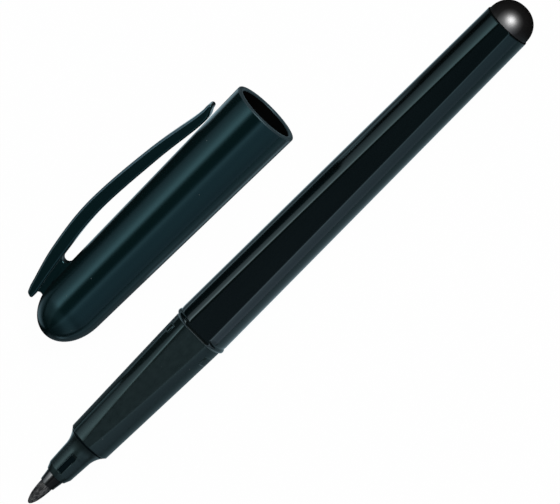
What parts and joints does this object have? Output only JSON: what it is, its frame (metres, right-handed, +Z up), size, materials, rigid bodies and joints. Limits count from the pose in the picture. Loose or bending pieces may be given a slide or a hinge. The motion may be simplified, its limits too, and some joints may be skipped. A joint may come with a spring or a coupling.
{
  "type": "cd marker",
  "caption": "Felt-tip disc marker with a flat-sided barrel, a gripping section, a fibre nib and a rear plug, lying beside its removed cap with a sprung pocket clip.",
  "frame": {"origin": "on the surface that the marker and its cap lie on, under the middle of their common box", "axes": "+X along the pen from its nib towards its rear plug, +Y sideways from the pen towards the cap, +Z up"},
  "size_m": [0.1262, 0.0358, 0.0133],
  "materials": {
    "barrel_plastic": "smooth moulded, blue-black",
    "grip_plastic": "finely textured, matte",
    "holder_plastic": "satin",
    "nib_fibre": "bonded fibre, inked",
    "core_fibre": "soaked fibre",
    "film": "thin film",
    "plug_plastic": "polished",
    "cap_plastic": "smooth moulded, dark teal",
    "seal_plastic": "soft moulded"
  },
  "bodies": {
    "pen": {"barrel": "barrel_plastic", "grip_section": "grip_plastic", "nib_holder": "holder_plastic", "nib": "nib_fibre", "ink_reservoir": "core_fibre", "reservoir_film": "film", "rear_plug": "plug_plastic"},
    "cap": {"cap_shell": "cap_plastic", "inner_seal": "seal_plastic"},
    "clip": {"pocket_clip": "cap_plastic"}
  },
  "joints": [
    {"name": "cap_pull", "type": "slide", "parent": "pen", "child": "cap", "axis": [-1, 0, 0], "range_m": [0, 0.082]},
    {"name": "clip_flex", "type": "hinge", "parent": "cap", "child": "clip", "pos_m": [-0.03466, 0.01268, 0.0057], "axis": [-0.0185, 0, 0.9998], "range_deg": [0, 4], "stiffness_Nm_per_rad": 0.02}
  ]
}
